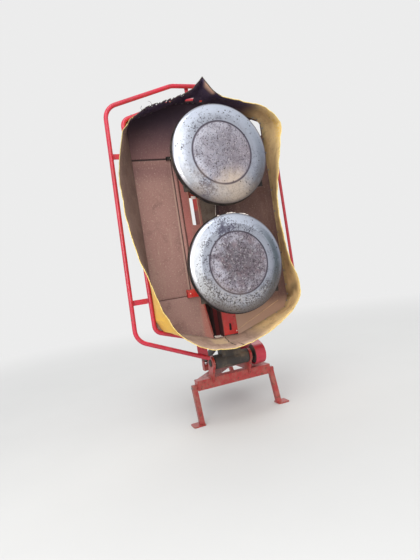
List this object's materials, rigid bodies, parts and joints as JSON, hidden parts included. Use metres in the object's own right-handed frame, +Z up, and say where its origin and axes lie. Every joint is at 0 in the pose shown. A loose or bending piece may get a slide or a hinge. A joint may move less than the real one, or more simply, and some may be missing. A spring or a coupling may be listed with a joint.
{
  "type": "drum mower",
  "caption": "Rear-mounted rotary drum mower folded up on edge, with saucers, knife plates, covers, skirt, guard bow, belt drive, fold cylinder and parking legs.",
  "frame": {"origin": "on the floor below the middle of the machine's bounding box", "axes": "+Z up, +Y the way the machine is driven (towards the hitch), +X its right-hand side, which the underside of the folded bed faces"},
  "size_m": [1.8574, 1.4549, 2.702],
  "materials": {
    "red_paint": "worn gloss red paint",
    "frame_red": "worn red paint with rust",
    "cover_inside": "dusty red-brown sheet",
    "polished_steel": "worn bright, rust film in the middle",
    "dark_steel": "dark, caked with dry grass dust",
    "bare_steel": "bare machined steel",
    "rod_chrome": "chromed rod",
    "black_paint": "black paint",
    "cast_grey": "painted casting",
    "skirt_pvc": "yellow coated fabric, dusty inside",
    "belt_rubber": "matt black",
    "shield_plastic": "matt black plastic"
  },
  "bodies": {
    "headstock": {"headstock": "frame_red", "mast": "frame_red", "leg_bracket": "frame_red", "lower_pins": "bare_steel", "breakaway_pin": "bare_steel"},
    "left_leg_body": {"left_leg": "frame_red"},
    "swing": {"swing_frame": "frame_red", "belt_guard": "red_paint", "drive_belts": "belt_rubber", "pto_shield": "shield_plastic"},
    "right_front_leg_body": {"right_front_leg": "frame_red"},
    "right_rear_leg_body": {"right_rear_leg": "frame_red"},
    "pto_input": {"pto_pulley": "cast_grey", "input_shaft": "bare_steel"},
    "driven_shaft": {"driven_pulley": "cast_grey"},
    "cylinder_tube": {"cylinder_barrel": "black_paint"},
    "cylinder_piston": {"cylinder_rod": "rod_chrome"},
    "bed": {"transmission_beam": "red_paint", "input_gearbox": "cast_grey", "inner_gear_dome": "red_paint", "outer_gear_dome": "red_paint", "cover_frame": "red_paint", "guard_bow": "red_paint", "front_rail": "red_paint", "front_cover": "cover_inside", "rear_strip": "cover_inside", "upper_rear_panel": "cover_inside", "lower_rear_panel": "cover_inside", "nose_cover": "cover_inside", "flap_brackets": "red_paint", "cylinder_bracket": "red_paint", "end_bracket": "red_paint", "panel_flange": "red_paint", "skirt": "skirt_pvc"},
    "flap": {"rear_flap": "cover_inside"},
    "inner_rotor": {"inner_saucer": "polished_steel", "inner_knife_plate": "dark_steel", "inner_knives": "dark_steel", "inner_drum": "dark_steel"},
    "outer_rotor": {"outer_saucer": "polished_steel", "outer_knife_plate": "dark_steel", "outer_knives": "dark_steel", "outer_drum": "dark_steel"}
  },
  "joints": [
    {"name": "breakaway", "type": "hinge", "parent": "headstock", "child": "swing", "pos_m": [-0.38125, 0.36499, 0.3], "axis": [0, 0, -1], "range_deg": [0, 30]},
    {"name": "fold", "type": "hinge", "parent": "swing", "child": "bed", "pos_m": [0.46875, 0.03998, 0.465], "axis": [0, 1, 0], "range_deg": [0, 90]},
    {"name": "rear_flap_hinge", "type": "hinge", "parent": "bed", "child": "flap", "pos_m": [0.52695, -0.21002, 1.625], "axis": [0, 0, -1], "range_deg": [0, 100]},
    {"name": "inner_drum_spin", "type": "hinge", "parent": "bed", "child": "inner_rotor", "pos_m": [0.92875, 0.03998, 1.225], "axis": [1, 0, 0], "continuous": true},
    {"name": "outer_drum_spin", "type": "hinge", "parent": "bed", "child": "outer_rotor", "pos_m": [0.92875, 0.03998, 2.025], "axis": [1, 0, 0], "continuous": true},
    {"name": "driven_pulley_spin", "type": "hinge", "parent": "swing", "child": "driven_shaft", "pos_m": [0.46875, 0.27998, 0.465], "axis": [0, 1, 0], "continuous": true},
    {"name": "pto_spin", "type": "hinge", "parent": "swing", "child": "pto_input", "pos_m": [-0.38125, 0.27998, 0.7], "axis": [0, 1, 0], "continuous": true},
    {"name": "cylinder_tilt", "type": "hinge", "parent": "swing", "child": "cylinder_tube", "pos_m": [-0.18125, 0.03998, 0.37], "axis": [0, 1, 0], "range_deg": [-1, 8]},
    {"name": "cylinder_stroke", "type": "slide", "parent": "cylinder_tube", "child": "cylinder_piston", "axis": [0.898, 0, 0.44], "range_m": [0, 0.31]},
    {"name": "left_leg_fold", "type": "hinge", "parent": "headstock", "child": "left_leg_body", "pos_m": [-0.72125, 0.46998, 0.285], "axis": [-1, 0, 0], "range_deg": [0, 90]},
    {"name": "right_front_leg_fold", "type": "hinge", "parent": "swing", "child": "right_front_leg_body", "pos_m": [0.39875, 0.42499, 0.285], "axis": [0, 1, 0], "range_deg": [0, 90]},
    {"name": "right_rear_leg_fold", "type": "hinge", "parent": "swing", "child": "right_rear_leg_body", "pos_m": [0.39875, -0.28002, 0.285], "axis": [0, 1, 0], "range_deg": [0, 90]}
  ],
  "couplings": [
    {"joint": "outer_drum_spin", "follows": "inner_drum_spin", "ratio": -1},
    {"joint": "driven_pulley_spin", "follows": "inner_drum_spin", "ratio": 0.7},
    {"joint": "pto_spin", "follows": "inner_drum_spin", "ratio": 0.29167},
    {"joint": "cylinder_tilt", "follows": "fold", "ratio": 0.063},
    {"joint": "cylinder_stroke", "follows": "fold", "m_per_rad": 0.19275}
  ]
}
